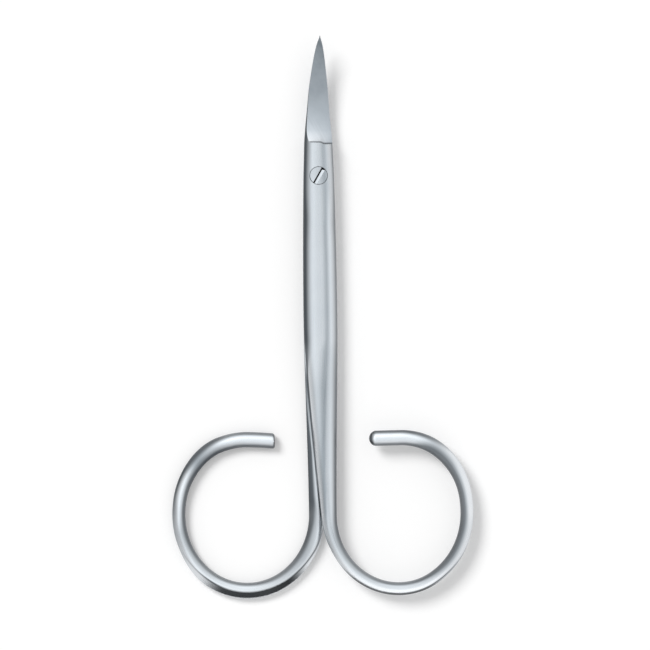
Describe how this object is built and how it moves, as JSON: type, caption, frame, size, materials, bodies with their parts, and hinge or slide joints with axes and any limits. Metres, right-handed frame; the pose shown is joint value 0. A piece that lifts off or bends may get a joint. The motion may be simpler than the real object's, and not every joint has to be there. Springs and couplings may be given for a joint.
{
  "type": "manicure scissors",
  "caption": "Slim steel manicure scissors with upward curved pointed blades, a slotted pivot screw and open wire finger rings.",
  "frame": {"origin": "where the pivot axis meets the plane that the scissors lie on", "axes": "+Y along the middle line from the finger rings to the blade tips, +X to the right-hand ring, +Z along the pivot axis, up out of the screw's head"},
  "size_m": [0.0482, 0.0898, 0.0053],
  "materials": {
    "upper_steel": "satin ground stainless steel",
    "lower_steel": "satin ground stainless steel",
    "screw_steel": "fine ground stainless steel"
  },
  "bodies": {
    "lower_half": {"lower_half": "lower_steel", "pivot_screw": "screw_steel"},
    "upper_half": {"upper_half": "upper_steel"}
  },
  "joints": [
    {"name": "pivot", "type": "hinge", "parent": "lower_half", "child": "upper_half", "pos_m": [0, 0, 0.00175], "axis": [0, 0, 1], "range_deg": [0, 120]}
  ]
}
